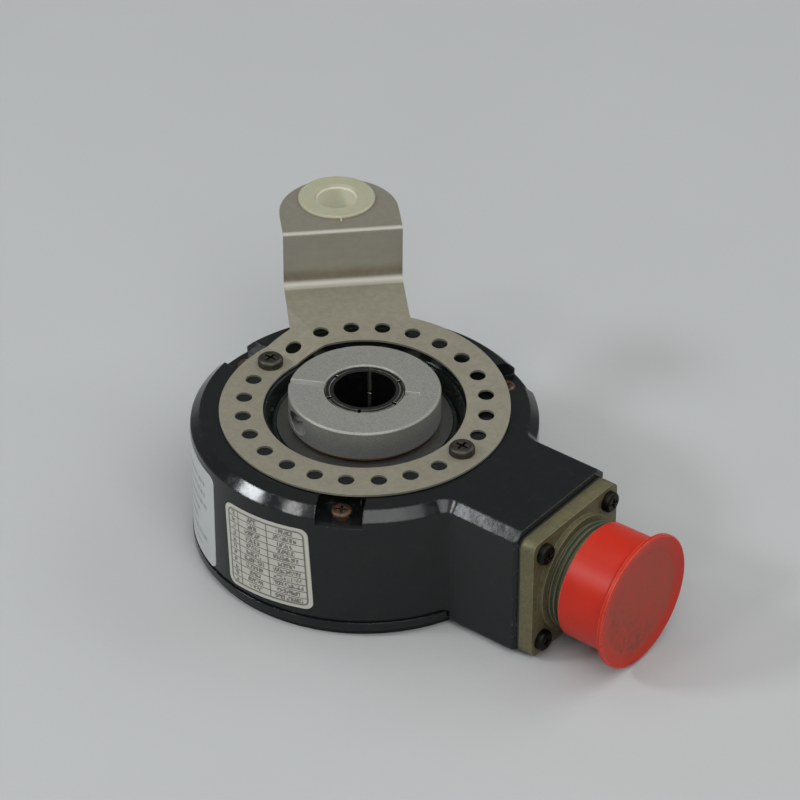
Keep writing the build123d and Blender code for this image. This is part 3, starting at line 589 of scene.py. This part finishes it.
def dress_bearings():
    dress(dark_rubber("seal_rubber"), "upper_shaft_seal", "lower_shaft_seal")
    dress(plain_metal("carrier_aluminium", (0.12, 0.12, 0.115), (0.055, 0.055, 0.053), 0.4, metallic=0.6),
          "bearing_carrier")
    races = [f"{place}_{piece}" for place in ("upper", "lower") for piece in ("inner_race", "outer_race")]
    dress(plain_metal("bearing_steel", (0.62, 0.62, 0.61), (0.5, 0.5, 0.49), 0.15), *races,
          "upper_bearing_balls", "lower_bearing_balls", "inner_spacer", "outer_spacer")
    dress(plain_metal("cage_steel", (0.45, 0.43, 0.38), (0.32, 0.3, 0.27), 0.35),
          "upper_bearing_cage", "lower_bearing_cage")
    dress(plain_metal("spring_steel", (0.15, 0.15, 0.15), (0.08, 0.08, 0.08), 0.35),
          "shaft_circlip", "carrier_circlip")


def dress_electronics():
    dress(dark_rubber("insert_rubber"), "connector_insert")
    dress(plain_metal("hub_aluminium", (0.5, 0.5, 0.49), (0.4, 0.4, 0.39), 0.35), "disc_clamp")
    dress(circuit_board(), "main_board", "sensor_board")
    dress(disc_glass(), "code_disc", "reticle")
    dress(plain_metal("chip_black", (0.02, 0.02, 0.02), (0.012, 0.012, 0.012), 0.5, 0.5, metallic=0.0),
          "board_chips", "photo_sensor", "read_head_frame")
    header = plain_metal("header_plastic", (0.55, 0.52, 0.42), (0.47, 0.44, 0.35), 0.45, 2.0, metallic=0.0)
    dress(header, "board_header")
    dress(plain_metal("standoff_brass", (0.62, 0.46, 0.2), (0.5, 0.36, 0.15), 0.25), "board_standoffs")
    dress(plain_metal("lamp_epoxy", (0.22, 0.05, 0.2), (0.15, 0.03, 0.14), 0.1, 2.0, metallic=0.0),
          "emitter_led")
    dress(plain_metal("gold_pin", (0.75, 0.55, 0.2), (0.6, 0.43, 0.15), 0.2), "link_pins", "connector_pins")
    dress(plain_metal("wire_jacket", (0.35, 0.03, 0.02), (0.28, 0.02, 0.015), 0.4, 2.0, metallic=0.0),
          "connector_wires")


def make_floor():
    reach = 3.0
    mesh = bpy.data.meshes.new("floor")
    z = floor_height
    corners = [(-reach, -reach, z), (reach, -reach, z), (reach, reach, z), (-reach, reach, z)]
    mesh.from_pydata(corners, [], [(0, 1, 2, 3)])
    floor = bpy.data.objects.new("floor", mesh)
    mesh.materials.append(floor_cloth())
    bpy.context.collection.objects.link(floor)


def aim(thing, place, target):
    """Puts a light at a place, turned to shine at the target."""
    thing.location = place
    thing.rotation_mode = "QUATERNION"
    thing.rotation_quaternion = (Vector(target) - Vector(place)).to_track_quat("-Z", "Y")


def direction(azimuth, elevation):
    """Unit vector towards an azimuth, 0 in front and 90 to the right, and an elevation."""
    turn, rise = radians(azimuth), radians(elevation)
    return Vector((sin(turn) * cos(rise), -cos(turn) * cos(rise), sin(rise)))


def make_light(name, azimuth, elevation, distance, size, power, tint=(1, 1, 1)):
    data = bpy.data.lights.new(name, "AREA")
    data.shape = "RECTANGLE"
    data.size, data.size_y = size
    data.energy = power
    data.color = tint
    light = bpy.data.objects.new(name, data)
    bpy.context.collection.objects.link(light)
    aim(light, direction(azimuth, elevation) * distance, (0, 0, 0))


def make_lights():
    make_light("window", -44, 36, 1.6, (0.34, 0.20), 7.0, (0.93, 0.97, 1.0))
    make_light("high_window", -15, 46, 1.7, (0.22, 0.16), 1.6)
    make_light("front_window", 52, 44, 1.8, (1.3, 0.9), 9.5)
    make_light("ceiling", 20, 80, 1.9, (2.2, 2.2), 15.0)
    make_light("back_window", 150, 40, 2.2, (1.6, 1.0), 11.0, (0.95, 0.98, 1.0))
    world = bpy.data.worlds.new("room")
    world.use_nodes = True
    background = world.node_tree.nodes["Background"]
    background.inputs["Color"].default_value = (0.84, 0.86, 0.86, 1.0)
    background.inputs["Strength"].default_value = 0.25
    bpy.context.scene.world = world


def make_camera():
    azimuth, elevation, distance = 38.126, 35.634, 1.01193
    move_right, move_up = 0.008951, 0.033397
    data = bpy.data.cameras.new("camera")
    data.sensor_width = 36.0
    data.lens = 175.14
    data.clip_start, data.clip_end = 0.05, 20.0
    camera = bpy.data.objects.new("camera", data)
    bpy.context.collection.objects.link(camera)
    back = direction(azimuth, elevation)
    right = Vector((0, 0, 1)).cross(back).normalized()
    up = back.cross(right)
    foot = Vector((0, 0, floor_height))
    camera.location = foot + back * distance + right * move_right + up * move_up
    turn = Matrix((right, up, back)).transposed()
    camera.rotation_mode = "QUATERNION"
    camera.rotation_quaternion = turn.to_quaternion()
    bpy.context.scene.camera = camera


dress_outside()
dress_bearings()
dress_electronics()
make_floor()
make_lights()
make_camera()
bpy.context.scene.view_settings.view_transform = "Standard"

bpy.context.view_layer.update()
